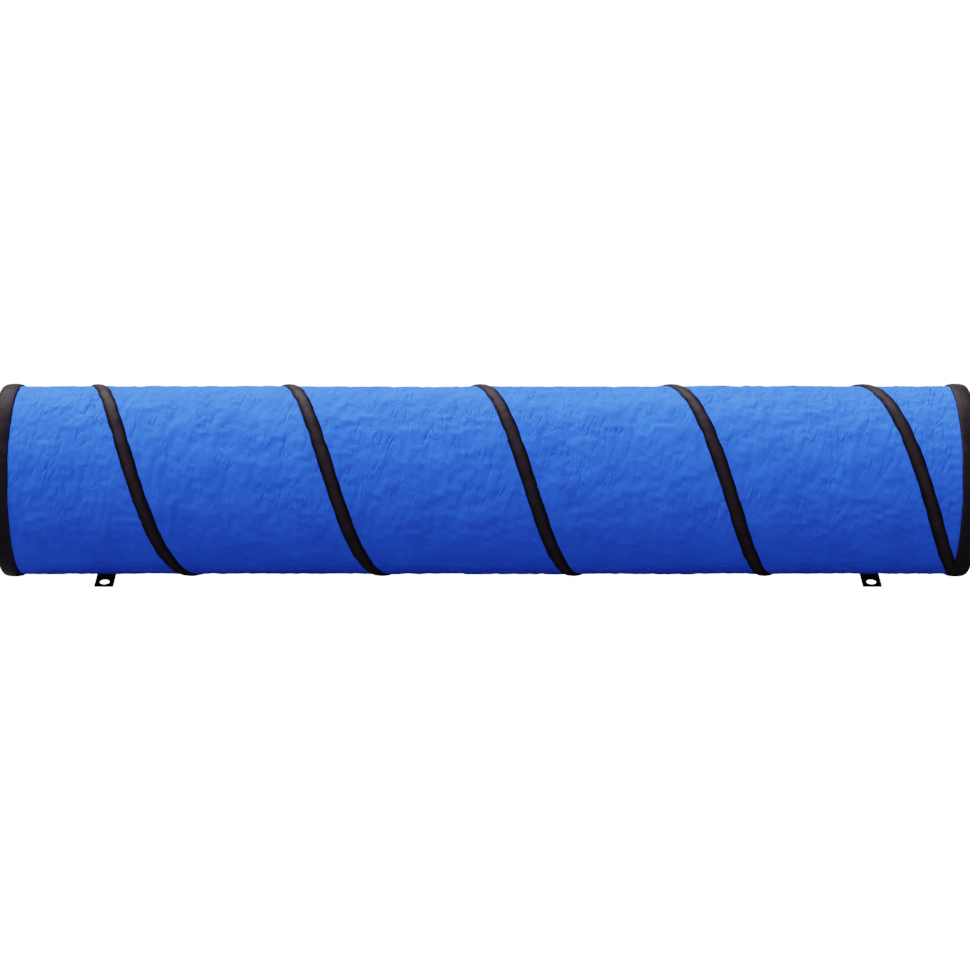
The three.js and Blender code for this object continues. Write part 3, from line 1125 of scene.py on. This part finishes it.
def make_tab_stitches(side, end, on_tab, hole_y):
    """Rows across the tab beside its fold and a row round its peg hole."""
    half = 25 * MM

    def across(share, y):
        return on_tab((2 * share - 1) * half, y + 0 * share)

    def round_hole(share):
        turn = TURN * share
        x = STITCHES_ROUND_HOLE_R * np.cos(turn)
        return on_tab(x, hole_y + STITCHES_ROUND_HOLE_R * np.sin(turn))

    def up(place):
        return np.tile([0.0, 0.0, 1.0], (len(place), 1))

    rows = [(lambda share, y=y: across(share, y), 2 * half, up) for y in (4 * MM, 9 * MM)]
    rows.append((round_hole, TURN * STITCHES_ROUND_HOLE_R, up))
    stitches(f"stitches_tab_{side}_{end}", f"{side}_{end}_tab", rows, False)


def make_webbing():
    for end, body in (("entry", "turn_1"), ("exit", f"turn_{TURNS}")):
        make_strap(end, body)
        for side in ("front", "rear"):
            make_tab(side, end)


# ---------------------------------------------------------------- studio

CAMERA_ELEVATION = math.radians(27)
CAMERA_DISTANCE = 8.3
CAMERA_LENS = 98.1
AIM_BELOW_AXIS = 17 * MM
FLOOR = 40  # half its side
WHITE = 2.7  # how bright the floor and the backdrop look to the camera
WHITE_KNEE = 1.9  # the nylon stays below this
DISPLAY_WHITE = 16  # what WHITE is lifted to
CURVE_SPAN = 4  # the range of the tone curve


def seen_brighter(nodes, links, shader_output, colour, strength, share):
    """Mixes a glow that only the camera sees over a shader."""
    glow = nodes.new("ShaderNodeEmission")
    glow.inputs["Color"].default_value = (*colour, 1)
    glow.inputs["Strength"].default_value = strength
    ray = nodes.new("ShaderNodeLightPath")
    factor = calculate(nodes, links, "MULTIPLY", ray.outputs["Is Camera Ray"], share)
    mix = nodes.new("ShaderNodeMixShader")
    links.new(factor, mix.inputs["Fac"])
    links.new(shader_output, mix.inputs[1])
    links.new(glow.outputs["Emission"], mix.inputs[2])
    return mix.outputs["Shader"]


def make_floor():
    made, nodes, links, shader = material("pale_floor")
    shader.inputs["Base Color"].default_value = (0.32, 0.32, 0.33, 1)
    shader.inputs["Roughness"].default_value = 0.9
    shader.inputs["Specular IOR Level"].default_value = 0
    pale = seen_brighter(nodes, links, shader.outputs["BSDF"], (1, 1, 1), WHITE, 0.97)
    links.new(pale, nodes["Material Output"].inputs["Surface"])
    corners = [(FLOOR * x, FLOOR * y, 0) for x, y in ((-1, -1), (1, -1), (1, 1), (-1, 1))]
    mesh = bpy.data.meshes.new("floor")
    mesh.from_pydata(corners, [], [(0, 1, 2, 3)])
    mesh.materials.append(made)
    floor = link("floor", mesh)
    floor.location.z = cad_low.z - 0.1 * MM


def make_world():
    world = bpy.data.worlds.new("studio")
    world.use_nodes = True
    nodes, links = world.node_tree.nodes, world.node_tree.links
    background = nodes["Background"]
    background.inputs["Color"].default_value = (0.90, 0.94, 1.0, 1)
    background.inputs["Strength"].default_value = 0.22
    pale = seen_brighter(nodes, links, background.outputs["Background"], (1, 1, 1), WHITE, 1)
    links.new(pale, nodes["World Output"].inputs["Surface"])
    bpy.context.scene.world = world


def make_sun(name, elevation, tilt, strength, spread):
    """Even, soft light. Elevation runs from the front (0) over the top (90) to the rear (180);
    tilt turns the light towards the exit end."""
    sun = bpy.data.lights.new(name, "SUN")
    sun.energy = strength
    sun.angle = math.radians(spread)
    lamp = link(name, sun)
    e, t = math.radians(elevation), math.radians(tilt)
    towards = Vector((math.sin(t), -math.cos(t) * math.cos(e), math.cos(t) * math.sin(e)))
    lamp.rotation_euler = towards.to_track_quat("Z", "Y").to_euler()


def make_lights():
    make_sun("overhead", 86, -28, 2.6, 40)
    make_sun("behind", 136, -12, 3.4, 50)
    make_sun("front_fill", 3, 10, 0.5, 60)


def make_camera():
    back = Vector((0, -math.cos(CAMERA_ELEVATION), math.sin(CAMERA_ELEVATION)))
    up = Vector((0, math.sin(CAMERA_ELEVATION), math.cos(CAMERA_ELEVATION)))
    target = Vector((0, 0, AXIS_Z)) - AIM_BELOW_AXIS * up
    camera = link("camera", bpy.data.cameras.new("camera"))
    camera.data.sensor_width = 36
    camera.data.lens = CAMERA_LENS
    camera.location = target + CAMERA_DISTANCE * back
    camera.rotation_euler = (-back).to_track_quat("-Z", "Y").to_euler()
    bpy.context.scene.camera = camera


def make_view():
    """Film-like tones, with everything brighter than the nylon lifted on to white."""
    view = bpy.context.scene.view_settings
    view.view_transform = "Filmic"
    view.look = "High Contrast"
    view.use_curve_mapping = True
    mapping = view.curve_mapping
    mapping.use_clip = False
    mapping.white_level = (CURVE_SPAN,) * 3
    curve = mapping.curves[3]
    curve.points[0].location = (0, 0)
    curve.points[1].location = (WHITE_KNEE / CURVE_SPAN, WHITE_KNEE)
    curve.points.new(WHITE / CURVE_SPAN, DISPLAY_WHITE)
    for point in curve.points:
        point.handle_type = "VECTOR"
    mapping.update()


make_tube()
make_coil()
make_coil_stitches()
make_mouths()
make_webbing()
make_floor()
make_world()
make_lights()
make_camera()
make_view()
